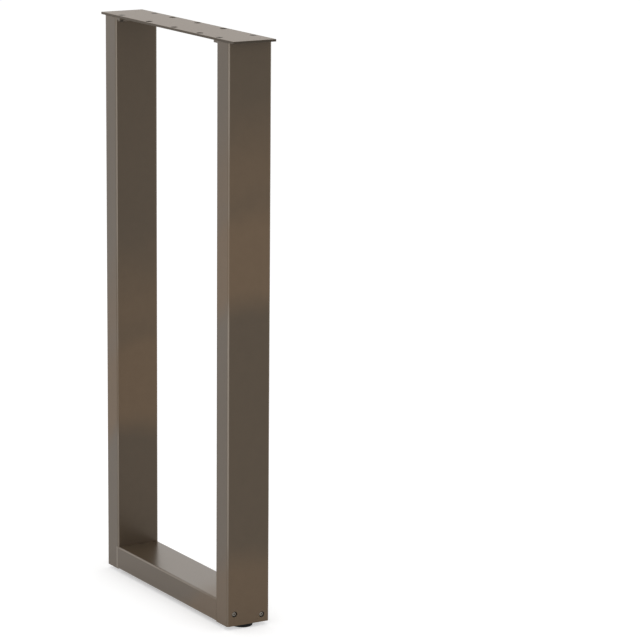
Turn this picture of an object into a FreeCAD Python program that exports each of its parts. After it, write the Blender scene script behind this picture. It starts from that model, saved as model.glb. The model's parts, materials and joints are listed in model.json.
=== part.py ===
"""U-shaped table leg of rectangular steel tube, with a screwed top plate and levelling feet.

Millimetres. X runs along the leg's width, Y along its depth with the front at -Y, Z up.
The origin is on the floor, midway between the feet, which are screwed fully in.
The left side is the right side turned half a turn about Z, so both uprights are the same piece.
"""
import FreeCAD, Part
import math
import os
import Sketcher

doc = FreeCAD.newDocument("table_leg")

# Driving sizes
sheet = doc.addObject("Spreadsheet::Sheet", "Sizes")
SIZES = {
    "leg_height": 740,  # floor to the plate's top
    "frame_width": 324,  # over both uprights
    "tube_depth": 60,
    "tube_width": 30,
    "tube_wall": 1.5,
    "tube_corner": 2.5,  # outer radius
    "plate_thickness": 3,
    "plate_overhang": 11,  # past each upright, at the plate's two ends
    "plate_corner": 1,
    "plate_edge": 0.4,
    "row_offset": 23.5,  # of each row of plate holes from the middle
    "hole_pitch": 66,
    "hole_stagger": 12.5,  # of each row's middle hole along the plate
    "hole_diameter": 6.6,
    "tab_reach": 9,  # how far the threaded tab stands out from the upright
    "tab_thickness": 3,
    "tab_inset": 1,  # at both ends of the tab
    "tab_weld": 2.2,  # leg of the fillet weld under the tab
    "plate_screw_diameter": 4,
    "plate_screw_head": 8,  # countersunk, 90 degrees
    "plate_screw_rim": 0.4,  # straight rim above the cone
    "plate_screw_socket": 2.5,  # across flats
    "plate_screw_socket_depth": 1.6,
    "rail_screw_diameter": 4,
    "rail_screw_head": 7,
    "rail_screw_head_height": 4,
    "rail_screw_edge": 0.4,
    "rail_screw_socket": 3,
    "rail_screw_socket_depth": 2.2,
    "rail_screw_recess": 1.5,  # of the head behind the upright's outer face
    "rail_screw_offset": 19.5,  # of each rail screw from the middle
    "front_screw_height": 15,  # above the tube's lower end, on the right upright
    "back_screw_height": 9.5,
    "screw_tip": 2,  # length that each screw shows past its thread
    "bush_diameter": 10,
    "rail_ear": 1.6,  # reach of the rail's front and back walls round the uprights' corners
    "end_plate_thickness": 6,
    "foot_plate_thickness": 4,
    "foot_height": 5,  # below the tube's lower end
    "foot_diameter": 27,
    "foot_taper": 0.7,  # smaller radius at the floor
    "foot_edge": 1,
    "stud_diameter": 8,
    "stud_reach": 24,  # above the tube's lower end
    "stud_point": 1,
    "stud_flange": 16,
    "stud_flange_thickness": 1.5,
    "hole_clearance": 0.25,  # radial, round screws and heads
    "thread_clearance": 0.05,  # radial, in threaded holes
    "corner_clearance": 1,  # larger corner radius of a plate that is set into a tube
    "ear_clearance": 0.05,  # larger radius of the rail's cut ends than of the corners in them
    "pocket_clearance": 0.3,  # radial, round the stud's flange in the foot
}
for row, (alias, size) in enumerate(SIZES.items(), start=1):
    sheet.set(f"A{row}", alias)
    sheet.set(f"B{row}", str(size))
    sheet.setAlias(f"B{row}", alias)
doc.recompute()

# Places that several pieces share
UPRIGHT_LENGTH = "(Sizes.leg_height - Sizes.plate_thickness - Sizes.foot_height)"
UPRIGHT_AXIS = "(Sizes.frame_width / 2 - Sizes.tube_width / 2)"
INNER_WIDTH = "(Sizes.tube_width - 2 * Sizes.tube_wall)"
INNER_DEPTH = "(Sizes.tube_depth - 2 * Sizes.tube_wall)"
INNER_CORNER = "(Sizes.tube_corner - Sizes.tube_wall)"
INSERT_CORNER = f"({INNER_CORNER} + Sizes.corner_clearance)"
TAB_SCREW_X = "(Sizes.tube_width / 2 + Sizes.tab_reach / 2)"
PLATE_SCREW_HOLE = "(Sizes.plate_screw_diameter + 2 * Sizes.hole_clearance)"
PLATE_SCREW_THREAD = "(Sizes.plate_screw_diameter + 2 * Sizes.thread_clearance)"
RAIL_SCREW_HOLE = "(Sizes.rail_screw_diameter + 2 * Sizes.hole_clearance)"
RAIL_SCREW_THREAD = "(Sizes.rail_screw_diameter + 2 * Sizes.thread_clearance)"
HEAD_HOLE = "(Sizes.rail_screw_head + 2 * Sizes.hole_clearance)"
HEAD_SEAT = "(Sizes.rail_screw_recess + Sizes.rail_screw_head_height)"
SCREW_ENDS = {
    "front": ("-Sizes.rail_screw_offset", "Sizes.front_screw_height"),
    "back": ("Sizes.rail_screw_offset", "Sizes.back_screw_height"),
}
ROWS = {"front": "-Sizes.row_offset", "back": "Sizes.row_offset"}
SIDES = {"right": 0, "left": 180}
OTHER_END = {"front": "back", "back": "front"}
ALONG_X = FreeCAD.Rotation(FreeCAD.Vector(0, 1, 0), 90)
FULL_TURN = 360
HEXAGON_TURN = FULL_TURN / 6
SAME = 0.001

pieces = []


def value(expression):
    return float(sheet.evalExpression(expression.replace("Sizes.", "")))


def end_label(side, end, piece):
    """Name by place on the leg: the half turn brings the left side's front pieces to the back."""
    seen = OTHER_END[end] if SIDES[side] else end
    return f"{side}_{seen}_{piece}"


def new_body(label):
    body = doc.addObject("PartDesign::Body", label)
    body.Label = label
    pieces.append(body)
    return body


def new_sketch(body, role, x="0", y="0", offset="0"):
    """A sketch on one of the body's own planes, moved along the plane and off it."""
    sketch = body.newObject("Sketcher::SketchObject", "Sketch")
    plane = next(feature for feature in body.Origin.OriginFeatures if feature.Role == role)
    sketch.AttachmentSupport = [(plane, "")]
    sketch.MapMode = "FlatFace"
    for axis, expression in (("x", x), ("y", y), ("z", offset)):
        sketch.setExpression(f"AttachmentOffset.Base.{axis}", expression)
    return sketch


def constrain(sketch, kind, *arguments, name=None, expression=None):
    if expression is None:
        sketch.addConstraint(Sketcher.Constraint(kind, *arguments))
        return
    index = sketch.addConstraint(Sketcher.Constraint(kind, *arguments, value(expression)))
    sketch.renameConstraint(index, name)
    sketch.setExpression(f"Constraints.{name}", expression)


def draw_loop(sketch, points):
    """Closed outline of straight lines."""
    corners = [FreeCAD.Vector(x, y, 0) for x, y in points]
    count = len(corners)
    lines = [sketch.addGeometry(Part.LineSegment(corners[i], corners[(i + 1) % count])) for i in range(count)]
    for i in range(count):
        constrain(sketch, "Coincident", lines[i], 2, lines[(i + 1) % count], 1)
    return lines


def draw_rectangle(sketch, width, height):
    """Rectangle centred on the sketch's origin."""
    x = value(width) / 2
    y = value(height) / 2
    bottom, right, top, left = draw_loop(sketch, [(-x, -y), (x, -y), (x, y), (-x, y)])
    for line in (bottom, top):
        constrain(sketch, "Horizontal", line)
    for line in (left, right):
        constrain(sketch, "Vertical", line)
    constrain(sketch, "Symmetric", bottom, 1, top, 1, -1, 1)
    constrain(sketch, "DistanceX", bottom, 1, bottom, 2, name="width", expression=width)
    constrain(sketch, "DistanceY", right, 1, right, 2, name="height", expression=height)


def draw_circle(sketch, diameter):
    circle = sketch.addGeometry(Part.Circle(FreeCAD.Vector(), FreeCAD.Vector(0, 0, 1), value(diameter) / 2))
    constrain(sketch, "Coincident", circle, 3, -1, 1)
    constrain(sketch, "Diameter", circle, name="diameter", expression=diameter)


def draw_hole_row(sketch, diameter, pitch):
    """Three equal holes in a row, the middle one on the sketch's origin."""
    step = value(pitch)
    radius = value(diameter) / 2
    normal = FreeCAD.Vector(0, 0, 1)
    first, middle, last = (
        sketch.addGeometry(Part.Circle(FreeCAD.Vector(place, 0, 0), normal, radius)) for place in (-step, 0, step)
    )
    constrain(sketch, "Coincident", middle, 3, -1, 1)
    constrain(sketch, "Symmetric", first, 3, last, 3, -1, 1)
    constrain(sketch, "PointOnObject", last, 3, -1)
    constrain(sketch, "Equal", first, middle)
    constrain(sketch, "Equal", last, middle)
    constrain(sketch, "DistanceX", -1, 1, last, 3, name="pitch", expression=pitch)
    constrain(sketch, "Diameter", middle, name="diameter", expression=diameter)


def draw_hexagon(sketch, across_flats):
    """Regular hexagon round a construction circle, with two sides upright."""
    apothem = value(across_flats) / 2
    corner = apothem / math.cos(math.radians(HEXAGON_TURN / 2))
    spin = FreeCAD.Rotation(FreeCAD.Vector(0, 0, 1), HEXAGON_TURN)
    points = [FreeCAD.Vector(0, corner, 0)]
    while len(points) * HEXAGON_TURN < FULL_TURN:
        points.append(spin.multVec(points[-1]))
    lines = draw_loop(sketch, [(point.x, point.y) for point in points])
    circle = sketch.addGeometry(Part.Circle(FreeCAD.Vector(), FreeCAD.Vector(0, 0, 1), apothem), True)
    constrain(sketch, "Coincident", circle, 3, -1, 1)
    constrain(sketch, "Diameter", circle, name="across_flats", expression=across_flats)
    for line in lines:
        constrain(sketch, "Tangent", line, circle)
    for line in lines[1:-1]:
        constrain(sketch, "Equal", lines[0], line)
    constrain(sketch, "Vertical", lines[1])


def draw_weld(sketch, leg):
    """Section of a fillet weld: a right-angled corner at the sketch's origin, open to the left and below."""
    size = value(leg)
    upright, slope, level = draw_loop(sketch, [(0, 0), (0, -size), (-size, 0)])
    constrain(sketch, "Coincident", upright, 1, -1, 1)
    constrain(sketch, "Vertical", upright)
    constrain(sketch, "Horizontal", level)
    constrain(sketch, "DistanceY", slope, 1, upright, 1, name="drop", expression=leg)
    constrain(sketch, "DistanceX", slope, 2, level, 2, name="width", expression=leg)


def draw_profile(sketch, points):
    """Half section to be turned about the upright axis: radius and height of each corner."""
    lines = draw_loop(sketch, [(value(radius), value(height)) for radius, height in points])
    for line, (radius, height) in zip(lines, points):
        if radius == "0":
            constrain(sketch, "PointOnObject", line, 1, -2)
        else:
            constrain(sketch, "DistanceX", -1, 1, line, 1, name=f"radius{line}", expression=radius)
        if height == "0":
            constrain(sketch, "PointOnObject", line, 1, -1)
        else:
            constrain(sketch, "DistanceY", -1, 1, line, 1, name=f"height{line}", expression=height)


def pad(body, sketch, length):
    feature = body.newObject("PartDesign::Pad", "Pad")
    feature.Profile = sketch
    feature.setExpression("Length", length)
    doc.recompute()
    return feature


def pocket(body, sketch, depth):
    """Cut from the sketch against its plane's direction."""
    before = body.Shape.Volume
    feature = body.newObject("PartDesign::Pocket", "Pocket")
    feature.Profile = sketch
    feature.setExpression("Length", depth)
    doc.recompute()
    if body.Shape.Volume > before - SAME:
        raise RuntimeError(f"a cut in {body.Label} takes nothing away")
    return feature


def turn(body, points):
    """Solid of revolution about the body's Z axis."""
    sketch = new_sketch(body, "XZ_Plane")
    draw_profile(sketch, points)
    feature = body.newObject("PartDesign::Revolution", "Revolution")
    feature.Profile = sketch
    feature.ReferenceAxis = (sketch, ["V_Axis"])
    feature.Angle = FULL_TURN
    doc.recompute()
    return feature


def half_turn_copy(body, feature):
    """The same cut again, half a turn about Z away."""
    before = body.Shape.Volume
    pattern = body.newObject("PartDesign::PolarPattern", "HalfTurn")
    pattern.Originals = [feature]
    axis = next(line for line in body.Origin.OriginFeatures if line.Role == "Z_Axis")
    pattern.Axis = (axis, [""])
    pattern.Angle = FULL_TURN
    pattern.Occurrences = 2
    body.Tip = pattern
    doc.recompute()
    if body.Shape.Volume > before - SAME:
        raise RuntimeError(f"the repeated cut in {body.Label} takes nothing away")


def dress(body, kind, edges, size, sheet_size):
    """Round or bevel the edges of the body's last feature that the test picks."""
    base = body.Tip
    names = [f"Edge{i}" for i, edge in enumerate(base.Shape.Edges, start=1) if edges(edge)]
    if not names:
        raise RuntimeError(f"{body.Label} has no edge to dress")
    feature = body.newObject(f"PartDesign::{kind}", kind)
    feature.Base = (base, names)
    feature.setExpression(size, sheet_size)
    doc.recompute()


def is_upright_edge(edge):
    box = edge.BoundBox
    return box.XLength < SAME and box.YLength < SAME


def place(body, x="0", y="0", z="0", rotation=FreeCAD.Rotation()):
    body.Placement = FreeCAD.Placement(FreeCAD.Vector(), rotation)
    for axis, expression in (("x", x), ("y", y), ("z", z)):
        body.setExpression(f"Placement.Base.{axis}", expression)


def place_on_side(body, side, x="0", y="0", z="0", rotation=FreeCAD.Rotation()):
    """Place from the upright's axis at its lower end, with +X outwards on both sides."""
    half_turn = FreeCAD.Rotation(FreeCAD.Vector(0, 0, 1), SIDES[side])
    sign = "-1" if SIDES[side] else "1"
    place(
        body,
        f"{sign} * ({UPRIGHT_AXIS} + {x})",
        f"{sign} * ({y})",
        f"Sizes.foot_height + {z}",
        half_turn.multiply(rotation),
    )


# Tubes
def make_tube(label, length):
    """Rectangular tube along its own Z, open at both ends."""
    body = new_body(label)
    outside = new_sketch(body, "XY_Plane")
    draw_rectangle(outside, "Sizes.tube_width", "Sizes.tube_depth")
    pad(body, outside, length)
    dress(body, "Fillet", is_upright_edge, "Radius", "Sizes.tube_corner")
    inside = new_sketch(body, "XY_Plane", offset=length)
    draw_rectangle(inside, INNER_WIDTH, INNER_DEPTH)
    pocket(body, inside, length)
    reach_x = value(INNER_WIDTH) / 2 + SAME
    reach_y = value(INNER_DEPTH) / 2 + SAME

    def is_inner_corner(edge):
        middle = edge.BoundBox.Center
        return is_upright_edge(edge) and abs(middle.x) < reach_x and abs(middle.y) < reach_y

    dress(body, "Fillet", is_inner_corner, "Radius", INNER_CORNER)
    return body


def make_upright(side):
    """Tube with a wide hole for each rail screw's head outside and a narrow one for its shank inside."""
    body = make_tube(f"{side}_upright", UPRIGHT_LENGTH)
    outer_face = "Sizes.tube_width / 2"
    inner_wall = "Sizes.tube_wall - Sizes.tube_width / 2"
    for across, height in SCREW_ENDS.values():
        for face, diameter in ((outer_face, HEAD_HOLE), (inner_wall, RAIL_SCREW_HOLE)):
            hole = new_sketch(body, "YZ_Plane", across, height, face)
            draw_circle(hole, diameter)
            pocket(body, hole, "Sizes.tube_wall")
    place_on_side(body, side)


def make_rail():
    """Tube laid flat between the uprights, level with their lower ends.

    Its ends are cut to the uprights' outline, so its front and back walls close the groove at their corners.
    """
    length = "(Sizes.frame_width - 2 * Sizes.tube_width + 2 * Sizes.rail_ear)"
    body = make_tube("bottom_rail", length)
    top = "Sizes.tube_width / 2"
    radius = "(Sizes.tube_corner + Sizes.ear_clearance)"
    corner = "(Sizes.tube_depth / 2 - Sizes.tube_corner)"
    for end, inwards in (("0", "1"), (length, "-1")):
        flat = new_sketch(body, "YZ_Plane", "0", f"{end} + {inwards} * Sizes.rail_ear / 2", top)
        draw_rectangle(flat, f"2 * {corner}", "Sizes.rail_ear")
        pocket(body, flat, "Sizes.tube_width")
        for across in (f"-1 * {corner}", corner):
            bay = new_sketch(body, "YZ_Plane", across, f"{end} + {inwards} * (Sizes.rail_ear - {radius})", top)
            draw_circle(bay, f"2 * {radius}")
            pocket(body, bay, "Sizes.tube_width")
    place(body, f"-{length} / 2", "0", "Sizes.foot_height + Sizes.tube_width / 2", ALONG_X)


# Top plate and what holds it
def make_top_plate():
    """Flat bar with three staggered table-top holes a row and a countersunk hole over each tab thread."""
    body = new_body("top_plate")
    outline = new_sketch(body, "XY_Plane")
    draw_rectangle(outline, "(Sizes.frame_width + 2 * Sizes.plate_overhang)", "Sizes.tube_depth")
    pad(body, outline, "Sizes.plate_thickness")
    dress(body, "Fillet", is_upright_edge, "Radius", "Sizes.plate_corner")
    dress(body, "Fillet", lambda edge: not is_upright_edge(edge), "Radius", "Sizes.plate_edge")
    row = new_sketch(body, "XY_Plane", "Sizes.hole_stagger", ROWS["front"], "Sizes.plate_thickness")
    draw_hole_row(row, "Sizes.hole_diameter", "Sizes.hole_pitch")
    half_turn_copy(body, pocket(body, row, "Sizes.plate_thickness"))
    wide = "(Sizes.plate_screw_head / 2 + Sizes.hole_clearance)"
    narrow = f"({PLATE_SCREW_HOLE} / 2)"
    cone = f"({wide} - {narrow})"
    for across in ROWS.values():
        sketch = new_sketch(body, "XZ_Plane", f"{UPRIGHT_AXIS} - {TAB_SCREW_X}", "0", f"-1 * ({across})")
        draw_profile(
            sketch,
            [
                ("0", "0"),
                (narrow, "0"),
                (narrow, f"(Sizes.plate_thickness - Sizes.plate_screw_rim - {cone})"),
                (wide, "(Sizes.plate_thickness - Sizes.plate_screw_rim)"),
                (wide, "Sizes.plate_thickness"),
                ("0", "Sizes.plate_thickness"),
            ],
        )
        countersink = body.newObject("PartDesign::Groove", "Countersink")
        countersink.Profile = sketch
        countersink.ReferenceAxis = (sketch, ["V_Axis"])
        countersink.Angle = FULL_TURN
        doc.recompute()
        half_turn_copy(body, countersink)
    place(body, z="Sizes.leg_height - Sizes.plate_thickness")


def make_plate_tab(side):
    """Threaded strip welded to the upright's inner face, under the top plate."""
    body = new_body(f"{side}_plate_tab")
    outline = new_sketch(body, "XY_Plane")
    draw_rectangle(outline, "Sizes.tab_reach", "(Sizes.tube_depth - 2 * Sizes.tab_inset)")
    pad(body, outline, "Sizes.tab_thickness")
    weld_length = "(Sizes.tube_depth - 2 * Sizes.tube_corner)"
    weld = new_sketch(body, "XZ_Plane", "Sizes.tab_reach / 2", "0", f"-1 * {weld_length} / 2")
    draw_weld(weld, "Sizes.tab_weld")
    pad(body, weld, weld_length)
    for across in ROWS.values():
        thread = new_sketch(body, "XY_Plane", "0", across, "Sizes.tab_thickness")
        draw_circle(thread, PLATE_SCREW_THREAD)
        pocket(body, thread, "(Sizes.tab_thickness + Sizes.tab_weld)")
    place_on_side(body, side, x=f"-1 * {TAB_SCREW_X}", z=f"{UPRIGHT_LENGTH} - Sizes.tab_thickness")


def make_plate_screw(side, end):
    """Countersunk socket screw through the plate into the tab, level with the plate's top."""
    body = new_body(end_label(side, end, "plate_screw"))
    length = "(Sizes.plate_thickness + Sizes.tab_thickness + Sizes.screw_tip)"
    shank = "(Sizes.plate_screw_diameter / 2)"
    head = "(Sizes.plate_screw_head / 2)"
    turn(
        body,
        [
            ("0", "0"),
            (shank, "0"),
            (shank, f"({length} - Sizes.plate_screw_rim - {head} + {shank})"),
            (head, f"({length} - Sizes.plate_screw_rim)"),
            (head, length),
            ("0", length),
        ],
    )
    socket = new_sketch(body, "XY_Plane", offset=length)
    draw_hexagon(socket, "Sizes.plate_screw_socket")
    pocket(body, socket, "Sizes.plate_screw_socket_depth")
    place_on_side(
        body,
        side,
        x=f"-1 * {TAB_SCREW_X}",
        y=ROWS[end],
        z=f"{UPRIGHT_LENGTH} - Sizes.tab_thickness - Sizes.screw_tip",
    )


# Screwed joint between rail and upright
def make_insert(label, thickness):
    """Steel plate set into a tube's end, with corners clear of the tube's inner corners."""
    body = new_body(label)
    outline = new_sketch(body, "XY_Plane")
    draw_rectangle(outline, INNER_WIDTH, INNER_DEPTH)
    pad(body, outline, thickness)
    dress(body, "Fillet", is_upright_edge, "Radius", INSERT_CORNER)
    return body


def make_rail_end_plate(side):
    """Plate welded into the rail's end, with a thread for each rail screw."""
    body = make_insert(f"{side}_rail_end_plate", "Sizes.end_plate_thickness")
    for across, height in SCREW_ENDS.values():
        thread = new_sketch(body, "XY_Plane", f"Sizes.tube_width / 2 - {height}", across, "Sizes.end_plate_thickness")
        draw_circle(thread, RAIL_SCREW_THREAD)
        pocket(body, thread, "Sizes.end_plate_thickness")
    place_on_side(
        body,
        side,
        x="(-1 * Sizes.tube_width / 2 - Sizes.end_plate_thickness)",
        z="Sizes.tube_width / 2",
        rotation=ALONG_X,
    )


def make_bush(side, end):
    """Distance bush between the upright's walls, bored wide at the outside to seat the screw's head."""
    body = new_body(end_label(side, end, "bush"))
    outside = "(Sizes.bush_diameter / 2)"
    bore = f"({RAIL_SCREW_HOLE} / 2)"
    wide = f"({HEAD_HOLE} / 2)"
    seat = f"({INNER_WIDTH} + Sizes.tube_wall - {HEAD_SEAT})"
    turn(
        body,
        [
            (bore, "0"),
            (outside, "0"),
            (outside, INNER_WIDTH),
            (wide, INNER_WIDTH),
            (wide, seat),
            (bore, seat),
        ],
    )
    across, height = SCREW_ENDS[end]
    place_on_side(body, side, x="(Sizes.tube_wall - Sizes.tube_width / 2)", y=across, z=height, rotation=ALONG_X)


def make_rail_screw(side, end):
    """Socket head screw from outside, through the bush into the rail's end plate."""
    body = new_body(end_label(side, end, "rail_screw"))
    shank = "(Sizes.rail_screw_diameter / 2)"
    head = "(Sizes.rail_screw_head / 2)"
    grip = f"(Sizes.tube_width - {HEAD_SEAT} + Sizes.end_plate_thickness + Sizes.screw_tip)"
    length = f"({grip} + Sizes.rail_screw_head_height)"
    turn(
        body,
        [
            ("0", "0"),
            (shank, "0"),
            (shank, grip),
            (head, grip),
            (head, f"({length} - Sizes.rail_screw_edge)"),
            (f"({head} - Sizes.rail_screw_edge)", length),
            ("0", length),
        ],
    )
    socket = new_sketch(body, "XY_Plane", offset=length)
    draw_hexagon(socket, "Sizes.rail_screw_socket")
    pocket(body, socket, "Sizes.rail_screw_socket_depth")
    across, height = SCREW_ENDS[end]
    tip = "(-1 * Sizes.tube_width / 2 - Sizes.end_plate_thickness - Sizes.screw_tip)"
    place_on_side(body, side, x=tip, y=across, z=height, rotation=ALONG_X)


# Levelling feet
def make_foot_plate(side):
    """Threaded plate welded into the upright's lower end."""
    body = make_insert(f"{side}_foot_plate", "Sizes.foot_plate_thickness")
    thread = new_sketch(body, "XY_Plane", offset="Sizes.foot_plate_thickness")
    draw_circle(thread, "(Sizes.stud_diameter + 2 * Sizes.thread_clearance)")
    pocket(body, thread, "Sizes.foot_plate_thickness")
    place_on_side(body, side)


def make_foot_stud(side):
    """Threaded stud with a round flange that sits in the foot."""
    body = new_body(f"{side}_foot_stud")
    shank = "(Sizes.stud_diameter / 2)"
    flange = "(Sizes.stud_flange / 2)"
    length = "(Sizes.stud_flange_thickness + Sizes.stud_reach)"
    turn(
        body,
        [
            ("0", "0"),
            (flange, "0"),
            (flange, "Sizes.stud_flange_thickness"),
            (shank, "Sizes.stud_flange_thickness"),
            (shank, f"({length} - Sizes.stud_point)"),
            (f"({shank} - Sizes.stud_point)", length),
            ("0", length),
        ],
    )
    place_on_side(body, side, z="-1 * Sizes.stud_flange_thickness")


def make_foot_base(side):
    """Round plastic foot with a pocket for the stud's flange."""
    body = new_body(f"{side}_foot_base")
    rim = "(Sizes.foot_diameter / 2)"
    well = "(Sizes.stud_flange / 2 + Sizes.pocket_clearance)"
    floor = "(Sizes.foot_height - Sizes.stud_flange_thickness)"
    turn(
        body,
        [
            ("0", "0"),
            (f"({rim} - Sizes.foot_taper)", "0"),
            (rim, "Sizes.foot_height"),
            (well, "Sizes.foot_height"),
            (well, floor),
            ("0", floor),
        ],
    )

    def is_floor_edge(edge):
        return edge.BoundBox.ZMax < SAME and edge.BoundBox.XLength > value(well)

    dress(body, "Fillet", is_floor_edge, "Radius", "Sizes.foot_edge")
    place_on_side(body, side, z="-1 * Sizes.foot_height")


make_top_plate()
make_rail()
for side in SIDES:
    make_upright(side)
    make_plate_tab(side)
    make_rail_end_plate(side)
    for end in SCREW_ENDS:
        make_plate_screw(side, end)
        make_bush(side, end)
        make_rail_screw(side, end)
    make_foot_plate(side)
    make_foot_stud(side)
    make_foot_base(side)
doc.recompute()

# Every piece is whole before anything is written
for item in doc.Objects:
    if "Invalid" in item.State or "Error" in item.State:
        raise RuntimeError(f"{item.Label} failed to build")
for piece in pieces:
    if piece.Shape.isNull() or not piece.Shape.isValid() or len(piece.Shape.Solids) != 1:
        raise RuntimeError(f"{piece.Label} is not one valid solid")

os.makedirs("parts", exist_ok=True)
for piece in pieces:
    piece.Shape.exportStep(f"parts/{piece.Label}.step")
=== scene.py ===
import json
import math

import bpy
from mathutils import Matrix, Vector


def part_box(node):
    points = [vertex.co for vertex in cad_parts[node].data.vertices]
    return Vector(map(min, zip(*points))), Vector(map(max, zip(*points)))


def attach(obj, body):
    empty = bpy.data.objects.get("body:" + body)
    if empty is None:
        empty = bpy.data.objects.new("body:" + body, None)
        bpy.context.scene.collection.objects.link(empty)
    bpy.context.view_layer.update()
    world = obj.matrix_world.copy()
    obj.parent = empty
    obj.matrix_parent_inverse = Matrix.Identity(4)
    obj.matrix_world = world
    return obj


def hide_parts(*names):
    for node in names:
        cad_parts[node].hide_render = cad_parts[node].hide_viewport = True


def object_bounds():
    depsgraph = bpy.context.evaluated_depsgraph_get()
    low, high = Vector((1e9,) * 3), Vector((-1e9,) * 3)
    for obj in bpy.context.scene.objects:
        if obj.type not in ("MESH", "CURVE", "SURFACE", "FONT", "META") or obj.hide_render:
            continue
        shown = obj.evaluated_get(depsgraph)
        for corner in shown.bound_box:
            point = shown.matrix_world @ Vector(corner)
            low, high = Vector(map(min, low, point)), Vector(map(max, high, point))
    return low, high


bl_info = {
    "name": "U-shaped table leg",
    "version": (1, 0, 0),
    "blender": (4, 5, 0),
    "location": "3D View > Sidebar > Table leg",
    "description": "Finishes a table leg of coated steel tube and sets it in a plain studio",
    "category": "Object",
}

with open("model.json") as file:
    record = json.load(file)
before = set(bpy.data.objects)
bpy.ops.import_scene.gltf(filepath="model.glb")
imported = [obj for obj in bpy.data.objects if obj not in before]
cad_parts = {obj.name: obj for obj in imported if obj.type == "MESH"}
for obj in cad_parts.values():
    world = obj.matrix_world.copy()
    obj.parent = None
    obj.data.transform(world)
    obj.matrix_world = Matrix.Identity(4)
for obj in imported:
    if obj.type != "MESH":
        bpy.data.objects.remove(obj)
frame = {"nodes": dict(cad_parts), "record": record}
CAD_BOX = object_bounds()
MIDDLE = (CAD_BOX[0] + CAD_BOX[1]) / 2
MILLIMETRE = 0.001
SHADER = "Principled BSDF"
WHITE = (1.0, 1.0, 1.0)

# Pieces of the leg by their finish
SIDES = ("left", "right")
ENDS = ("front", "back")
TUBE_NODES = ["bottom_rail"]
TUBE_NODES += [f"{side}_{piece}" for side in SIDES for piece in ("upright", "plate_tab")]
INNER_NODES = [f"{side}_{piece}" for side in SIDES for piece in ("rail_end_plate", "foot_plate")]
INNER_NODES += [f"{side}_{end}_bush" for side in SIDES for end in ENDS]
RAIL_SCREW_NODES = [f"{side}_{end}_rail_screw" for side in SIDES for end in ENDS]
PLATE_SCREW_NODES = [f"{side}_{end}_plate_screw" for side in SIDES for end in ENDS]
FOOT_NODES = [f"{side}_foot_base" for side in SIDES]


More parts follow.
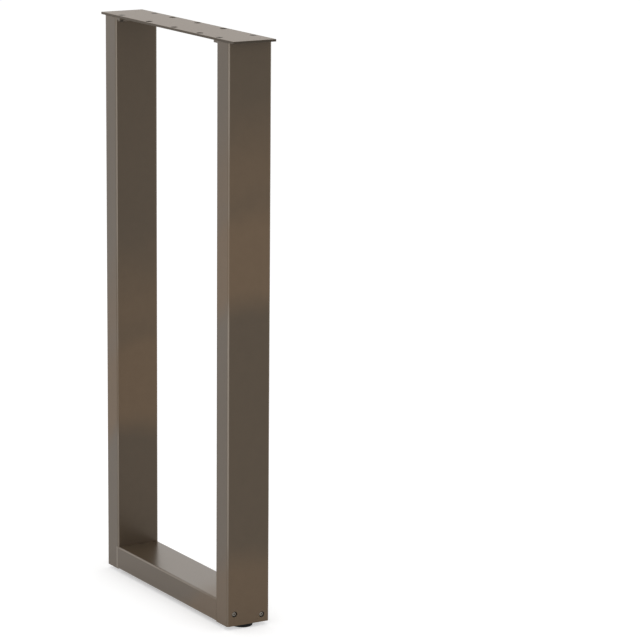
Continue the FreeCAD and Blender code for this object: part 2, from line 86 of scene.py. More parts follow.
# Settings that a user would change
class CoatSettings(bpy.types.PropertyGroup):
    """Satin coat of the tubes, the top plate and its tabs."""

    steel_colour: bpy.props.FloatVectorProperty(
        name="Coat",
        description="Grey-brown of the coat",
        subtype="COLOR",
        default=(0.074, 0.053, 0.034),
    )
    # Painted reflection: colour of the slanting bands
    reflection_colour: bpy.props.FloatVectorProperty(
        name="Warm bands",
        description="Browner cast of the coat",
        subtype="COLOR",
        default=(0.142, 0.098, 0.063),
    )
    glance_colour: bpy.props.FloatVectorProperty(
        name="Glance",
        description="Tint of the coat's gloss at a flat angle",
        subtype="COLOR",
        default=(0.88, 0.71, 0.52),
    )
    bar_glance_colour: bpy.props.FloatVectorProperty(
        name="Bar glance",
        description="The same on the top plate",
        subtype="COLOR",
        default=(0.92, 0.82, 0.72),
    )
    metal_share: bpy.props.FloatProperty(
        name="Metal share",
        description="How metallic the tubes look",
        subtype="FACTOR",
        default=0.15,
        min=0,
        max=1,
    )
    bar_metal_share: bpy.props.FloatProperty(
        name="Bar metal share",
        description="The same on the top plate",
        subtype="FACTOR",
        default=0.55,
        min=0,
        max=1,
    )
    gloss: bpy.props.FloatProperty(
        name="Gloss",
        description="Mirroring of the tubes' coat under its clear layer",
        subtype="FACTOR",
        default=0.3,
        min=0,
        max=1,
    )
    bar_gloss: bpy.props.FloatProperty(
        name="Bar gloss",
        description="The same on the top plate, which has no clear layer",
        subtype="FACTOR",
        default=0.5,
        min=0,
        max=1,
    )
    roughness: bpy.props.FloatProperty(
        name="Roughness",
        description="Roughness of the tubes' coat outside its bands",
        subtype="FACTOR",
        default=0.3,
        min=0,
        max=1,
    )
    bar_roughness: bpy.props.FloatProperty(
        name="Bar roughness",
        description="The same on the rolled bar of the top plate",
        subtype="FACTOR",
        default=0.28,
        min=0,
        max=1,
    )
    roughness_spread: bpy.props.FloatProperty(
        name="Roughness spread",
        description="How much rougher the bands are",
        subtype="FACTOR",
        default=0.06,
        min=0,
        max=1,
    )
    lacquer: bpy.props.FloatProperty(
        name="Lacquer",
        description="Weight of the clear layer on the tubes",
        subtype="FACTOR",
        default=0.36,
        min=0,
        max=1,
    )
    lacquer_roughness: bpy.props.FloatProperty(
        name="Lacquer roughness",
        description="Roughness of the clear layer",
        subtype="FACTOR",
        default=0.28,
        min=0,
        max=1,
    )
    band_lacquer: bpy.props.FloatProperty(
        name="Lacquer in bands",
        description="Share of the clear layer that the warm bands keep",
        subtype="FACTOR",
        default=0.1,
        min=0,
        max=1,
    )
    band_slope: bpy.props.FloatProperty(
        name="Band slope",
        description="Rise of the warm bands over the leg's width",
        default=0.72,
    )
    # Painted highlight: lighter colour on the tubes' corners
    highlight_colour: bpy.props.FloatVectorProperty(
        name="Highlighted corners",
        description="Lighter coat on the tubes' corners",
        subtype="COLOR",
        default=(0.19, 0.16, 0.13),
    )
    # Share of the painted corner highlight kept in the bands
    band_highlight: bpy.props.FloatProperty(
        name="Band sheen",
        description="Share of the highlight left in the bands",
        subtype="FACTOR",
        default=0.4,
        min=0,
        max=1,
    )
    # Width of the painted highlight on the upright's corner beside the rail
    joint_reach: bpy.props.FloatProperty(
        name="Joint reach",
        description="Width of the rubbed corner beside the rail",
        unit="LENGTH",
        default=0.0032,
        precision=4,
    )
    # Painted shade on the plate's sides
    side_shade_colour: bpy.props.FloatVectorProperty(
        name="Plate sides",
        description="Thin dark coat on the plate's sides",
        subtype="COLOR",
        default=(0.045, 0.036, 0.027),
    )
    # Painted shade in the plate's holes
    hole_shade_colour: bpy.props.FloatVectorProperty(
        name="Cut walls",
        description="Dark walls of the holes in the plate",
        subtype="COLOR",
        default=(0.012, 0.010, 0.008),
    )
    # Painted shade round each hole
    shade_rim_reach: bpy.props.FloatProperty(
        name="Hole rims",
        description="Radius of the dark rim round each hole",
        unit="LENGTH",
        default=0.0044,
        precision=4,
    )
    peel_size: bpy.props.FloatProperty(
        name="Peel size",
        description="Spacing of the fine ripple in the coat",
        unit="LENGTH",
        default=0.0011,
        precision=4,
    )
    peel_depth: bpy.props.FloatProperty(
        name="Peel depth",
        description="Depth of the fine ripple",
        unit="LENGTH",
        default=0.00001,
        precision=6,
    )


class FastenerSettings(bpy.types.PropertyGroup):
    """Screws, bushes, threaded plates and the studs of the feet."""

    # Blackened steel, dark enough that the heads also paint the shade in their recesses
    rail_screw_colour: bpy.props.FloatVectorProperty(
        name="Rail screws",
        description="Blackened steel of the rail screws",
        subtype="COLOR",
        default=(0.03, 0.027, 0.023),
    )
    plate_screw_colour: bpy.props.FloatVectorProperty(
        name="Plate screws",
        description="Blackened steel of the plate screws",
        subtype="COLOR",
        default=(0.04, 0.036, 0.031),
    )
    # Painted highlight in the middle of each rail screw
    socket_highlight_colour: bpy.props.FloatVectorProperty(
        name="Highlit sockets",
        description="Bright steel in the rail screws' sockets",
        subtype="COLOR",
        default=(0.32, 0.295, 0.26),
    )
    # Radius of the painted highlight
    socket_highlight_reach: bpy.props.FloatProperty(
        name="Highlit reach",
        description="Radius of the bright middle",
        unit="LENGTH",
        default=0.0022,
        precision=4,
    )
    steel_colour: bpy.props.FloatVectorProperty(
        name="Bare steel",
        description="Plain steel of the inner pieces",
        subtype="COLOR",
        default=(0.45, 0.45, 0.46),
    )
    stud_pitch: bpy.props.FloatProperty(
        name="Stud pitch",
        description="Thread pitch of the foot studs",
        unit="LENGTH",
        default=0.00125,
        precision=5,
    )


class FootSettings(bpy.types.PropertyGroup):
    """Moulded plastic of the levelling feet."""

    colour: bpy.props.FloatVectorProperty(
        name="Plastic",
        description="Black of the feet",
        subtype="COLOR",
        default=(0.006, 0.006, 0.006),
    )
    roughness: bpy.props.FloatProperty(
        name="Roughness",
        description="Middle of the plastic's roughness",
        subtype="FACTOR",
        default=0.6,
        min=0,
        max=1,
    )
    gloss: bpy.props.FloatProperty(
        name="Gloss",
        description="How much the plastic mirrors",
        subtype="FACTOR",
        default=0.15,
        min=0,
        max=1,
    )


class StageSettings(bpy.types.PropertyGroup):
    """Floor, light and camera."""

    floor_size: bpy.props.FloatProperty(
        name="Floor",
        description="Side of the floor",
        unit="LENGTH",
        default=60.0,
    )
    floor_colour: bpy.props.FloatVectorProperty(
        name="Floor colour",
        description="Pale floor",
        subtype="COLOR",
        default=(0.75, 0.75, 0.75),
    )
    floor_lift: bpy.props.FloatProperty(
        name="Floor lift",
        description="Glow that brings the floor up to white where it is seen",
        default=0.42,
    )
    room_strength: bpy.props.FloatProperty(
        name="Room light",
        description="Strength of the even light from all round",
        default=0.8,
    )
    view_azimuth: bpy.props.FloatProperty(
        name="Azimuth",
        description="Camera's place round the leg",
        subtype="ANGLE",
        default=math.radians(61.354),
    )
    view_elevation: bpy.props.FloatProperty(
        name="Elevation",
        description="Camera's place above the leg",
        subtype="ANGLE",
        default=math.radians(12.040),
    )
    view_distance: bpy.props.FloatProperty(
        name="Distance",
        description="Camera to the leg's middle",
        unit="LENGTH",
        default=4.1245,
    )
    aim_azimuth: bpy.props.FloatProperty(
        name="Aim azimuth",
        description="Where the camera points",
        subtype="ANGLE",
        default=math.radians(58.9345),
    )
    aim_elevation: bpy.props.FloatProperty(
        name="Aim elevation",
        description="How far down it points",
        subtype="ANGLE",
        default=math.radians(12.1155),
    )
    roll: bpy.props.FloatProperty(
        name="Roll",
        description="Camera's tilt to the side",
        subtype="ANGLE",
        default=math.radians(0.4992),
    )
    lens: bpy.props.FloatProperty(
        name="Lens",
        description="Focal length in millimetres",
        default=182.406,
    )


SETTINGS = {
    "leg_coat": CoatSettings,
    "leg_fasteners": FastenerSettings,
    "leg_feet": FootSettings,
    "leg_stage": StageSettings,
}


# Node helpers
def add_node(tree, kind, inputs=None, **settings):
    """A new node with its settings, and its inputs set or linked."""
    made = tree.nodes.new(kind)
    for key, setting in settings.items():
        setattr(made, key, setting)
    for key, source in (inputs or {}).items():
        if isinstance(source, bpy.types.NodeSocket):
            tree.links.new(source, made.inputs[key])
        else:
            made.inputs[key].default_value = source
    return made


def math_node(tree, operation, first, second):
    """What an operation makes of two values."""
    return add_node(tree, "ShaderNodeMath", {0: first, 1: second}, operation=operation).outputs[0]


def magnitude(tree, source):
    """A value without its sign."""
    return add_node(tree, "ShaderNodeMath", {0: source}, operation="ABSOLUTE").outputs[0]


def axis_parts(tree, vector):
    """The X, Y and Z parts of a vector."""
    return add_node(tree, "ShaderNodeSeparateXYZ", {"Vector": vector}).outputs


def spread_node(tree, source, low, high):
    """A value of 0 to 1 spread between two limits."""
    limits = {"Value": source, "To Min": low, "To Max": high}
    return add_node(tree, "ShaderNodeMapRange", limits).outputs["Result"]


def vary_node(tree, source, middle, reach):
    """A value of 0 to 1 spread to both sides of a middle."""
    return spread_node(tree, source, middle - reach, middle + reach)


def share_node(tree, source, start, end):
    """0 where a value is at its start or before, 1 at its end or past it, and even between."""
    limits = {"Value": source, "From Min": start, "From Max": end}
    return add_node(tree, "ShaderNodeMapRange", limits).outputs["Result"]


def mix_colours(tree, share, first, second, blend="MIX"):
    """Two colours mixed by a share."""
    made = add_node(tree, "ShaderNodeMix", data_type="RGBA", blend_type=blend)
    sockets = {"Factor_Float": share, "A_Color": first, "B_Color": second}
    for socket in made.inputs:
        source = sockets.get(socket.identifier)
        if isinstance(source, bpy.types.NodeSocket):
            tree.links.new(source, socket)
        elif source is not None:
            socket.default_value = source
    return next(socket for socket in made.outputs if socket.identifier == "Result_Color")


def shade_colour(tree, colour, grain, shades):
    """A colour that a grain makes darker and lighter between two shades."""
    return mix_colours(tree, 1.0, colour, spread_node(tree, grain, *shades), "MULTIPLY")


def bump_node(tree, height, depth):
    """Normals of a surface that rises with a height by up to a depth."""
    bump = add_node(tree, "ShaderNodeBump", {"Height": height, "Strength": 1.0, "Distance": depth})
    return bump.outputs["Normal"]


def object_place(tree):
    """Where a point of the surface lies."""
    return add_node(tree, "ShaderNodeTexCoord").outputs["Object"]


def new_group(name, inputs, outputs):
    """An empty node group with named sockets, and its two end nodes."""
    group = bpy.data.node_groups.new(name, "ShaderNodeTree")
    for label, kind in inputs:
        group.interface.new_socket(label, in_out="INPUT", socket_type=kind)
    for label, kind in outputs:
        group.interface.new_socket(label, in_out="OUTPUT", socket_type=kind)
    return group, add_node(group, "NodeGroupInput"), add_node(group, "NodeGroupOutput")


def new_material(name):
    """A material with its node tree and its shader."""
    material = bpy.data.materials.new(name)
    material.use_nodes = True
    tree = material.node_tree
    return material, tree, tree.nodes[SHADER]


def opaque(colour):
    """A colour with full cover."""
    return (*colour, 1.0)


def finish_nodes(names, material):
    """Puts a material on all slots of some CAD pieces."""
    for name in names:
        for slot in frame["nodes"][name].material_slots:
            slot.material = material


# Grain that the leg's finishes share
EVEN = (1.0, 1.0, 1.0)
GRAIN_DETAIL = 2.0
GRAIN_ROUGHNESS = 0.5


def grain_group():
    """Even grain of a given spacing, as a shade and as a height."""
    name = "Fine grain"
    if name in bpy.data.node_groups:
        return bpy.data.node_groups[name]
    group, start, end = new_group(
        name,
        [("Place", "NodeSocketVector"), ("Spacing", "NodeSocketFloat"), ("Stretch", "NodeSocketVector")],
        [("Shade", "NodeSocketFloat"), ("Height", "NodeSocketFloat")],
    )
    stretched = add_node(
        group,
        "ShaderNodeVectorMath",
        {0: start.outputs["Place"], 1: start.outputs["Stretch"]},
        operation="MULTIPLY",
    )
    noise = add_node(
        group,
        "ShaderNodeTexNoise",
        {
            "Vector": stretched.outputs[0],
            "Scale": math_node(group, "DIVIDE", 1.0, start.outputs["Spacing"]),
            "Detail": GRAIN_DETAIL,
            "Roughness": GRAIN_ROUGHNESS,
        },
    )
    group.links.new(noise.outputs["Fac"], end.inputs["Shade"])
    group.links.new(noise.outputs["Fac"], end.inputs["Height"])
    return group


def grain_node(tree, place, spacing, stretch=EVEN):
    """The grain in a material, with its own spacing and stretch."""
    inputs = {"Place": place, "Spacing": spacing, "Stretch": stretch}
    return add_node(tree, "ShaderNodeGroup", inputs, node_tree=grain_group()).outputs


# Coated steel
MOTTLE_SPACING = 0.012
MOTTLE_SHADES = (0.94, 1.06)
DRIFT_SPACING = 0.09
DRIFT_REACH = 0.03

# A flat face points along one axis by the first share or more, and a rounded corner by the second or less
FLAT_FACE = 0.99
ROUND_CORNER = 0.93

# A wall faces upwards by less than this share
STEEP = 0.5

# Walls nearer than this to the plate's outline are its sides and not its holes
EDGE_BAND = 0.001

# Share of a spot's radius over which its edge fades, to each side
SOFT_EDGE = 0.1

# Level and strength of the bands of painted reflection from low to high, and the range of levels that they
# are kept in
BANDS = (
    (-0.045, 0.7),
    (-0.005, 0.0),
    (0.270, 0.0),
    (0.315, 1.0),
    (0.390, 1.0),
    (0.425, 0.55),
    (0.455, 0.7),
    (0.560, 0.0),
)
BAND_LOW = -0.15
BAND_HIGH = 0.85


def reflection_bands(tree, place, slope):
    """Soft slanting bands over the leg's height, where a warmer reflection is painted into the coat's colour
    and the coat is less glossy.
    """
    parts = axis_parts(tree, place)
    level = math_node(tree, "SUBTRACT", parts["Z"], math_node(tree, "MULTIPLY", parts["X"], slope))
    drift = grain_node(tree, place, DRIFT_SPACING)["Shade"]
    level = math_node(tree, "ADD", level, vary_node(tree, drift, 0.0, DRIFT_REACH))
    ramp = add_node(tree, "ShaderNodeValToRGB", {"Fac": share_node(tree, level, BAND_LOW, BAND_HIGH)})
    ramp.color_ramp.interpolation = "EASE"
    stops = ramp.color_ramp.elements
    stops.remove(stops[1])
    for index, (height, amount) in enumerate(BANDS):
        position = (height - BAND_LOW) / (BAND_HIGH - BAND_LOW)
        stop = stops[0] if index == 0 else stops.new(position)
        stop.position = position
        stop.color = (amount, amount, amount, 1.0)
    return ramp.outputs["Color"]


def facing_parts(tree):
    """How far the surface faces along each axis, either way."""
    facing = add_node(tree, "ShaderNodeTexCoord").outputs["Normal"]
    sizes = add_node(tree, "ShaderNodeVectorMath", {0: facing}, operation="ABSOLUTE").outputs[0]
    return axis_parts(tree, sizes)


def rounded_corners(tree):
    """1 on the tubes' rounded corners, where a highlight is painted, and 0 on their flat faces."""
    parts = facing_parts(tree)
    most = math_node(tree, "MAXIMUM", math_node(tree, "MAXIMUM", parts["X"], parts["Y"]), parts["Z"])
    return share_node(tree, most, FLAT_FACE, ROUND_CORNER)


def joint_corners(tree, place, reach):
    """1 where a highlight is painted on an upright's corner beside the rail and on its half-turn copy, and 0
    elsewhere.
    """
    parts = axis_parts(tree, place)
    _, rail_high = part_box("bottom_rail")
    across = magnitude(tree, parts["X"])
    mask = math_node(tree, "LESS_THAN", parts["Z"], rail_high[2])
    mask = math_node(tree, "MULTIPLY", mask, math_node(tree, "GREATER_THAN", across, rail_high[0]))
    mask = math_node(tree, "MULTIPLY", mask, math_node(tree, "LESS_THAN", across, rail_high[0] + reach))
    shown = math_node(tree, "GREATER_THAN", math_node(tree, "MULTIPLY", parts["X"], parts["Y"]), 0.0)
    return math_node(tree, "MULTIPLY", mask, shown)


def near_any(tree, place, centres, reach):
    """1 nearer than reach to one of several points, with a soft edge, and 0 farther off."""
    mask = 0.0
    for centre in centres:
        gap = add_node(tree, "ShaderNodeVectorMath", {0: place, 1: centre}, operation="DISTANCE")
        near = share_node(tree, gap.outputs["Value"], reach * (1 + SOFT_EDGE), reach * (1 - SOFT_EDGE))
        mask = math_node(tree, "MAXIMUM", mask, near)
    return mask


def hole_centres():
    """Where the plate's open holes come out on top, from the record's mounts."""
    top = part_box("top_plate")[1][2]
    centres = []
    for mount in frame["record"]["mounts"]:
        x, y, _ = mount["pos_m"]
        if mount["kind"] == "bolt_pattern":
            half = mount["dims"]["spacing_x_mm"] * MILLIMETRE / 2
            centres += [(x - half, y, top), (x + half, y, top)]
        elif mount["kind"] == "bore":
            centres.append((x, y, top))
    return centres


def shade_masks(tree, place, shade_rim_reach):
    """Where shade is painted: all the plate's upright walls, and its hole walls with the rims round them."""
    sides = math_node(tree, "LESS_THAN", facing_parts(tree)["Z"], STEEP)
    walls = sides
    parts = axis_parts(tree, place)
    _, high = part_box("top_plate")
    for axis, from_middle in (("X", high[0] - EDGE_BAND), ("Y", high[1] - EDGE_BAND)):
        inside = math_node(tree, "LESS_THAN", magnitude(tree, parts[axis]), from_middle)
        walls = math_node(tree, "MULTIPLY", walls, inside)
    rims = near_any(tree, place, hole_centres(), shade_rim_reach)
    return sides, math_node(tree, "MAXIMUM", walls, rims)


def coated_steel(settings, name, roughness, metal, gloss, glance):
    """Satin coat with duller bands of painted warm reflection, a mottle and a fine ripple. Its colour is
    linked by the caller.
    """
    material, tree, shader = new_material(name)
    place = object_place(tree)
    bands = reflection_bands(tree, place, settings.band_slope)
    mottle = grain_node(tree, place, MOTTLE_SPACING)["Shade"]
    peel = grain_node(tree, place, settings.peel_size)["Height"]
    # Painted reflection: the bands take a warmer colour
    colour = mix_colours(tree, bands, opaque(settings.steel_colour), opaque(settings.reflection_colour))
    colour = shade_colour(tree, colour, mottle, MOTTLE_SHADES)
    dull = spread_node(tree, bands, roughness, roughness + settings.roughness_spread)
    tree.links.new(dull, shader.inputs["Roughness"])
    tree.links.new(bump_node(tree, peel, settings.peel_depth), shader.inputs["Normal"])
    shader.inputs["Metallic"].default_value = metal
    shader.inputs["Specular IOR Level"].default_value = gloss
    shader.inputs["Specular Tint"].default_value = opaque(glance)
    return material, place, bands, colour


class CoatFrame(bpy.types.Operator):
    """Give the tubes, the top plate and its tabs their satin coat"""

    bl_idname = "table_leg.coat_frame"
    bl_label = "Coat the frame"

    def execute(self, context):
        settings = context.scene.leg_coat
        finish_nodes(TUBE_NODES, self.coat_tubes(settings))
        finish_nodes(["top_plate"], self.coat_bar(settings))
        return {"FINISHED"}

    def coat_tubes(self, settings):
        """Coat with a clear layer and painted highlights on its corners."""
        material, place, bands, colour = coated_steel(
            settings,
            "coated_tube",
            settings.roughness,
            settings.metal_share,
            settings.gloss,
            settings.glance_colour,
        )
        tree = material.node_tree
        shader = tree.nodes[SHADER]
        # Painted highlight: a lighter colour on the rounded corners and on the corners beside the rail,
        # weaker in the bands
        joints = joint_corners(tree, place, settings.joint_reach)
        highlighted = math_node(tree, "MAXIMUM", rounded_corners(tree), joints)
        highlighted = math_node(tree, "MULTIPLY", highlighted, spread_node(tree, bands, 1.0, settings.band_highlight))
        colour = mix_colours(tree, highlighted, colour, opaque(settings.highlight_colour))
        tree.links.new(colour, shader.inputs["Base Color"])
        clear = spread_node(tree, bands, settings.lacquer, settings.lacquer * settings.band_lacquer)
        tree.links.new(clear, shader.inputs["Coat Weight"])
        shader.inputs["Coat Roughness"].default_value = settings.lacquer_roughness
        return material

    def coat_bar(self, settings):
        """Coat without a clear layer, with painted shade on the plate's sides, and painted shade in its
        holes and round their rims, where the coat is also dull.
        """
        material, place, _, colour = coated_steel(
            settings,
            "coated_bar",
            settings.bar_roughness,
            settings.bar_metal_share,
            settings.bar_gloss,
            settings.bar_glance_colour,
        )
        tree = material.node_tree
        inputs = tree.nodes[SHADER].inputs
        # Painted shade on the plate's sides, in its holes and round their rims
        sides, hole_shade = shade_masks(tree, place, settings.shade_rim_reach)
        colour = mix_colours(tree, sides, colour, opaque(settings.side_shade_colour))
        colour = mix_colours(tree, hole_shade, colour, opaque(settings.hole_shade_colour))
        tree.links.new(colour, inputs["Base Color"])
        dull = math_node(tree, "MAXIMUM", inputs["Roughness"].links[0].from_socket, hole_shade)
        tree.links.new(dull, inputs["Roughness"])
        metal = spread_node(tree, hole_shade, settings.bar_metal_share, 1.0)
        tree.links.new(metal, inputs["Metallic"])
        return material


# Screws and inner steel
MARK_SPACING = 0.0015
MARK_DEPTH = 0.00001
MARK_ROUGHNESS = 0.1
STAIN_SPACING = 0.006
STAIN_SHADES = (0.75, 1.2)
RAIL_SCREW_ROUGHNESS = 0.5
PLATE_SCREW_ROUGHNESS = 0.6
BARE_ROUGHNESS = 0.35

# The rail screws lie along X, and the tool marks of the inner pieces run along Y
ACROSS_SCREW = (0.0, 1.0, 1.0)
DRAWN_OUT = (1.0, 0.05, 1.0)


def turned_steel(name, colour, roughness, stretch=EVEN):
    """Steel with faint stains and fine tool marks."""
    material, tree, shader = new_material(name)
    place = object_place(tree)
    marks = grain_node(tree, place, MARK_SPACING, stretch)
    stain = grain_node(tree, place, STAIN_SPACING)["Shade"]
    stained = shade_colour(tree, opaque(colour), stain, STAIN_SHADES)
    tree.links.new(stained, shader.inputs["Base Color"])
    rough = vary_node(tree, marks["Shade"], roughness, MARK_ROUGHNESS)
    tree.links.new(rough, shader.inputs["Roughness"])
    tree.links.new(bump_node(tree, marks["Height"], MARK_DEPTH), shader.inputs["Normal"])
    shader.inputs["Metallic"].default_value = 1.0
    return material


class FinishScrews(bpy.types.Operator):
    """Give the screws their blackened steel, which on the rail screws is dark enough to paint the shade in
    each head's recess, with a painted highlight in the middle of each rail screw
    """

    bl_idname = "table_leg.finish_screws"
    bl_label = "Finish the screws"

    def execute(self, context):
        settings = context.scene.leg_fasteners
        rail_steel = turned_steel("rail_screw_steel", settings.rail_screw_colour, RAIL_SCREW_ROUGHNESS)
        self.paint_socket_highlight(rail_steel, settings)
        finish_nodes(RAIL_SCREW_NODES, rail_steel)
        plate_steel = turned_steel("plate_screw_steel", settings.plate_screw_colour, PLATE_SCREW_ROUGHNESS)
        finish_nodes(PLATE_SCREW_NODES, plate_steel)
        return {"FINISHED"}

    def paint_socket_highlight(self, material, settings):
        """Painted highlight: bright colour near each rail screw's axis."""
        tree = material.node_tree
        finish = tree.nodes[SHADER].inputs["Base Color"]
        across = add_node(
            tree,
            "ShaderNodeVectorMath",
            {0: object_place(tree), 1: ACROSS_SCREW},
            operation="MULTIPLY",
        )
        axes = [Vector(ACROSS_SCREW) * (low + high) / 2 for low, high in map(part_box, RAIL_SCREW_NODES)]
        middle = near_any(tree, across.outputs[0], axes, settings.socket_highlight_reach)
        # Painted highlight near each rail screw's axis
        highlit_finish = mix_colours(tree, middle, finish.links[0].from_socket, opaque(settings.socket_highlight_colour))
        tree.links.new(highlit_finish, finish)


class FinishInnerSteel(bpy.types.Operator):
    """Give the bushes and the threaded plates their bare steel"""

    bl_idname = "table_leg.finish_inner_steel"
    bl_label = "Finish the inner steel"

    def execute(self, context):
        settings = context.scene.leg_fasteners
        steel = turned_steel("bare_steel", settings.steel_colour, BARE_ROUGHNESS, DRAWN_OUT)
        finish_nodes(INNER_NODES, steel)
        return {"FINISHED"}


# Threaded studs of the feet
STUD_POINT = 0.001
STUD_FLANGE = 0.0015
FLANGE_CHAMFER = 0.0003
WELD_REACH = 0.000001
SHARP_ANGLE = math.radians(30)
STEPS_PER_TURN = 32
SPARE_TURNS = 2

# The thread's crest as a share of the shank's radius, and its depth and flats as shares of the pitch
CREST_SHARE = 0.995
THREAD_DEPTH = 0.6
ROOT_FLAT = 1 / 6
CREST_FLAT = 1 / 8


def weld_mesh():
    """Merges points that fall together, takes out faces without area and turns the faces outwards."""
    bpy.ops.object.mode_set(mode="EDIT")
    bpy.ops.mesh.select_all(action="SELECT")
    bpy.ops.mesh.remove_doubles(threshold=WELD_REACH)
    bpy.ops.mesh.dissolve_degenerate(threshold=WELD_REACH)
    bpy.ops.mesh.normals_make_consistent(inside=False)
    bpy.ops.object.mode_set(mode="OBJECT")


def sweep_profile(context, points, rise=0.0, turns=1):
    """A surface swept round the Z axis from points given as distance from the axis and height."""
    bpy.ops.object.select_all(action="DESELECT")
    bpy.ops.mesh.primitive_plane_add(size=MILLIMETRE, location=(0, 0, 0))
    made = context.object
    bpy.ops.object.mode_set(mode="EDIT")
    bpy.ops.mesh.select_all(action="SELECT")
    bpy.ops.mesh.merge(type="CENTER")
    bpy.ops.mesh.select_all(action="SELECT")
    bpy.ops.transform.translate(value=(points[0][0], 0.0, points[0][1]))
    for (near, low), (far, high) in zip(points, points[1:]):
        bpy.ops.mesh.extrude_vertices_move(TRANSFORM_OT_translate={"value": (far - near, 0.0, high - low)})
    bpy.ops.object.mode_set(mode="OBJECT")
    bpy.ops.object.modifier_add(type="SCREW")
    sweep = made.modifiers[-1]
    sweep.steps = STEPS_PER_TURN
    sweep.render_steps = STEPS_PER_TURN
    sweep.screw_offset = rise
    sweep.iterations = turns
    bpy.ops.object.modifier_apply(modifier=sweep.name)
    weld_mesh()
    return made


def combine(context, made, other, operation):
    """Joins another solid to a solid, or keeps what the two share, and takes the other one away."""
    bpy.ops.object.select_all(action="DESELECT")
    context.view_layer.objects.active = made
    bpy.ops.object.modifier_add(type="BOOLEAN")
    step = made.modifiers[-1]
    step.operation = operation
    step.solver = "EXACT"
    step.object = other
    bpy.ops.object.modifier_apply(modifier=step.name)
    other.select_set(True)
    bpy.ops.object.delete()
    made.select_set(True)
    weld_mesh()


def move_mesh(offset):
    """Moves the active object's mesh, and leaves the object at the origin."""
    bpy.ops.object.mode_set(mode="EDIT")
    bpy.ops.mesh.select_all(action="SELECT")
    bpy.ops.transform.translate(value=offset)
    bpy.ops.object.mode_set(mode="OBJECT")


class ThreadStuds(bpy.types.Operator):
    """Turn a threaded stud with its flange and set it in both feet"""

    bl_idname = "table_leg.thread_studs"
    bl_label = "Thread the studs"

    def execute(self, context):
        settings = context.scene.leg_fasteners
        places = {side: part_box(f"{side}_foot_stud") for side in SIDES}
        low, high = places["right"]
        made = self.wind_thread(context, settings.stud_pitch, low[2], high[2])
        flange_radius = (high[0] - low[0]) / 2
        combine(context, made, self.turn_flange(context, flange_radius, low[2]), "UNION")
        bpy.ops.object.shade_smooth_by_angle(angle=SHARP_ANGLE)
        made.data.materials.clear()
        made.data.materials.append(turned_steel("stud_steel", settings.steel_colour, BARE_ROUGHNESS))
        middles = {side: (corners[0] + corners[1]) / 2 for side, corners in places.items()}
        move_mesh((middles["right"].x, 0.0, 0.0))
        studs = {"right": made}
        bpy.ops.object.duplicate(linked=False)
        move_mesh((middles["left"].x - middles["right"].x, 0.0, 0.0))
        studs["left"] = context.object
        for side, stud in studs.items():
            stud.name = f"{side}_threaded_stud"
            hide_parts(f"{side}_foot_stud")
            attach(stud, f"{side}_foot")
        return {"FINISHED"}

    def wind_thread(self, context, pitch, low, high):
        """Shank with a rolled thread and a short point."""
        radius = self.shank_radius()
        crest = radius * CREST_SHARE
        root = crest - THREAD_DEPTH * pitch
        flank = (1 - ROOT_FLAT - CREST_FLAT) / 2
        start = low - pitch
        shares = ((root, 0), (root, ROOT_FLAT), (crest, ROOT_FLAT + flank), (crest, 1 - flank), (root, 1))
        profile = [(reach, start + share * pitch) for reach, share in shares]
        turns = math.ceil((high - low) / pitch) + SPARE_TURNS
        made = sweep_profile(context, profile, pitch, turns)
        bpy.ops.object.mode_set(mode="EDIT")
        for height, above in ((low, False), (high + pitch / 2, True)):
            bpy.ops.mesh.select_all(action="SELECT")
            bpy.ops.mesh.bisect(
                plane_co=(0, 0, height),
                plane_no=(0, 0, 1),
                use_fill=True,
                clear_inner=not above,
                clear_outer=above,
            )
        bpy.ops.mesh.select_all(action="SELECT")
        bpy.ops.mesh.normals_make_consistent(inside=False)
        bpy.ops.object.mode_set(mode="OBJECT")
        bottom = low + STUD_FLANGE / 2
        shoulder = high - STUD_POINT
        tip = radius - STUD_POINT
        blank = [(0, bottom), (radius, bottom), (radius, shoulder), (tip, high), (0, high)]
        combine(context, made, sweep_profile(context, blank), "INTERSECT")
        return made

    def shank_radius(self):
        """Radius of the CAD stud above its flange."""
        low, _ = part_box("right_foot_stud")
        shank_start = low[2] + STUD_FLANGE + STUD_POINT
        corners = frame["nodes"]["right_foot_stud"].data.vertices
        return max(corner.co.y for corner in corners if corner.co.z > shank_start)

    def turn_flange(self, context, radius, low):
        """Round flange with broken edges."""
        inner = radius - FLANGE_CHAMFER
        high = low + STUD_FLANGE
        edge = [(inner, low), (radius, low + FLANGE_CHAMFER), (radius, high - FLANGE_CHAMFER), (inner, high)]
        return sweep_profile(context, [(0, low), *edge, (0, high)])


# Levelling feet: fine moulded grain and a cloudy black
FOOT_GRAIN = 0.0006
FOOT_GRAIN_DEPTH = 0.00004
FOOT_GRAIN_ROUGHNESS = 0.1
FOOT_CLOUD = 0.008
FOOT_CLOUD_SHADES = (0.7, 1.4)


class FinishFeet(bpy.types.Operator):
    """Give the feet their moulded black plastic"""

    bl_idname = "table_leg.finish_feet"
    bl_label = "Finish the feet"

    def execute(self, context):
        settings = context.scene.leg_feet
        material, tree, shader = new_material("foot_plastic")
        place = object_place(tree)
        grain = grain_node(tree, place, FOOT_GRAIN)
        cloud = grain_node(tree, place, FOOT_CLOUD)["Shade"]
        colour = shade_colour(tree, opaque(settings.colour), cloud, FOOT_CLOUD_SHADES)
        tree.links.new(colour, shader.inputs["Base Color"])
        rough = vary_node(tree, grain["Shade"], settings.roughness, FOOT_GRAIN_ROUGHNESS)
        tree.links.new(rough, shader.inputs["Roughness"])
        tree.links.new(bump_node(tree, grain["Height"], FOOT_GRAIN_DEPTH), shader.inputs["Normal"])
        shader.inputs["Specular IOR Level"].default_value = settings.gloss
        finish_nodes(FOOT_NODES, material)
        return {"FINISHED"}


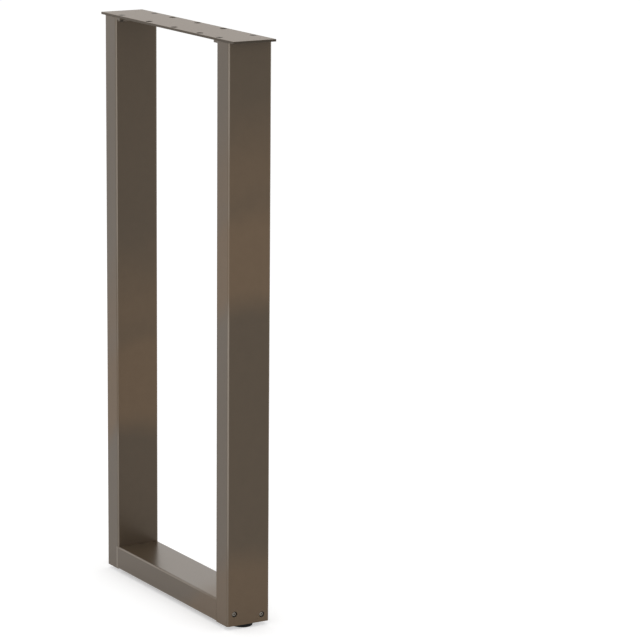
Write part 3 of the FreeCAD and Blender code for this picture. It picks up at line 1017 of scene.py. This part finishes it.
# Studio: the lamp lights the leg, and the cards only show in its gloss
SENSOR_WIDTH = 36.0
SIGHT_LIMIT = 200.0
LAMPS = (
    {
        "name": "overhead_lamp",
        "place": (0.0, 0.0, 3.2),
        "aim": (0.0, 0.0, 0.0),
        "size": (2.4, 2.4),
        "radiance": 1.0,
        "gloss_only": False,
    },
    {
        "name": "near_card",
        "place": (0.42, -0.50, 0.36),
        "aim": (0.0, 0.0, 0.36),
        "size": (0.9, 0.76),
        "radiance": 1.3,
        "gloss_only": True,
    },
    {
        "name": "back_card",
        "place": (0.35, 0.75, 0.36),
        "aim": (0.15, 0.0, 0.36),
        "size": (0.25, 0.76),
        "radiance": 2.0,
        "gloss_only": True,
    },
    {
        "name": "left_card",
        "place": (-1.15, -0.65, 0.6),
        "aim": (0.0, 0.0, 0.6),
        "size": (1.6, 1.2),
        "radiance": 0.1,
        "gloss_only": True,
    },
    {
        "name": "rail_card",
        "place": (-1.0, 0.58, 0.4),
        "aim": (0.0, 0.0, 0.4),
        "size": (1.2, 0.6),
        "radiance": 0.25,
        "gloss_only": True,
    },
    {
        "name": "edge_card",
        "place": (-1.29, -0.34, 0.73),
        "aim": (0.0, -0.03, 0.03),
        "size": (0.6, 0.5),
        "radiance": 0.35,
        "gloss_only": True,
    },
)


def view_axes(azimuth, elevation, roll=0.0):
    """Right, up and back of a camera that looks at the leg from this side."""
    flat = math.cos(elevation)
    back = Vector((math.sin(azimuth) * flat, -math.cos(azimuth) * flat, math.sin(elevation)))
    level = Vector((math.cos(azimuth), math.sin(azimuth), 0.0))
    upward = back.cross(level)
    right = level * math.cos(roll) + upward * math.sin(roll)
    return right, back.cross(right), back


def seen_directly(tree):
    """1 where a surface is seen by the camera, in gloss or through glass, and 0 where it only lights."""
    rays = add_node(tree, "ShaderNodeLightPath").outputs
    seen = math_node(tree, "MAXIMUM", rays["Is Camera Ray"], rays["Is Glossy Ray"])
    return math_node(tree, "MAXIMUM", seen, rays["Is Transmission Ray"])


class SetStage(bpy.types.Operator):
    """Lay the floor and set the light and the camera"""

    bl_idname = "table_leg.set_stage"
    bl_label = "Set the stage"

    def execute(self, context):
        settings = context.scene.leg_stage
        bpy.ops.object.select_all(action="DESELECT")
        self.lay_floor(context, settings)
        self.light_room(context, settings)
        self.hang_lamps(context)
        self.place_camera(context, settings)
        context.scene.view_settings.view_transform = "Standard"
        return {"FINISHED"}

    def lay_floor(self, context, settings):
        """Dull pale floor with a glow that shows only where the floor is seen."""
        bpy.ops.mesh.primitive_plane_add(size=settings.floor_size, location=(0, 0, 0))
        floor = context.object
        floor.name = "studio_floor"
        material, tree, shader = new_material("studio_floor")
        shader.inputs["Base Color"].default_value = opaque(settings.floor_colour)
        shader.inputs["Roughness"].default_value = 1.0
        shader.inputs["Specular IOR Level"].default_value = 0.0
        shader.inputs["Emission Color"].default_value = opaque(WHITE)
        lift = spread_node(tree, seen_directly(tree), 0.0, settings.floor_lift)
        tree.links.new(lift, shader.inputs["Emission Strength"])
        floor.data.materials.append(material)

    def light_room(self, context, settings):
        """Even light from all round, which is white where it is seen."""
        world = bpy.data.worlds.new("studio_room")
        world.use_nodes = True
        tree = world.node_tree
        background = tree.nodes["Background"]
        background.inputs["Color"].default_value = opaque(WHITE)
        strength = spread_node(tree, seen_directly(tree), settings.room_strength, 1.0)
        tree.links.new(strength, background.inputs["Strength"])
        context.scene.world = world

    def hang_lamps(self, context):
        """Soft lamp and cards, each with the power that its radiance and its area need."""
        for lamp in LAMPS:
            bpy.ops.object.light_add(type="AREA", location=lamp["place"])
            made = context.object
            made.name = lamp["name"]
            made.visible_camera = False
            made.visible_diffuse = not lamp["gloss_only"]
            width, height = lamp["size"]
            made.data.shape = "RECTANGLE"
            made.data.size = width
            made.data.size_y = height
            made.data.energy = lamp["radiance"] * math.pi * width * height
            aim = Vector(lamp["aim"]) - made.location
            made.rotation_euler = aim.to_track_quat("-Z", "Y").to_euler()

    def place_camera(self, context, settings):
        """Camera on the photo's side of the leg, aimed so that the leg stands where it does there."""
        _, _, outward = view_axes(settings.view_azimuth, settings.view_elevation)
        axes = view_axes(settings.aim_azimuth, settings.aim_elevation, settings.roll)
        bpy.ops.object.camera_add(location=Vector(MIDDLE) + outward * settings.view_distance)
        camera = context.object
        camera.name = "photo_camera"
        camera.rotation_euler = Matrix(axes).transposed().to_euler()
        camera.data.lens = settings.lens
        camera.data.sensor_width = SENSOR_WIDTH
        camera.data.clip_end = SIGHT_LIMIT
        context.scene.camera = camera


class LegPanel(bpy.types.Panel):
    """The leg's pieces and its stage"""

    bl_idname = "VIEW3D_PT_table_leg"
    bl_label = "Table leg"
    bl_space_type = "VIEW_3D"
    bl_region_type = "UI"
    bl_category = "Table leg"

    def draw(self, context):
        for operator in OPERATORS:
            self.layout.operator(operator.bl_idname)


OPERATORS = (CoatFrame, FinishScrews, FinishInnerSteel, ThreadStuds, FinishFeet, SetStage)


def register():
    for settings in SETTINGS.values():
        bpy.utils.register_class(settings)
    for name, settings in SETTINGS.items():
        setattr(bpy.types.Scene, name, bpy.props.PointerProperty(type=settings))
    for made in (*OPERATORS, LegPanel):
        bpy.utils.register_class(made)


def unregister():
    for made in (LegPanel, *reversed(OPERATORS)):
        bpy.utils.unregister_class(made)
    for name, settings in SETTINGS.items():
        delattr(bpy.types.Scene, name)
        bpy.utils.unregister_class(settings)


def main():
    """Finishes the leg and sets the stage."""
    register()
    bpy.ops.table_leg.coat_frame()
    bpy.ops.table_leg.finish_screws()
    bpy.ops.table_leg.finish_inner_steel()
    bpy.ops.table_leg.thread_studs()
    bpy.ops.table_leg.finish_feet()
    bpy.ops.table_leg.set_stage()


if __name__ == "__main__":
    main()
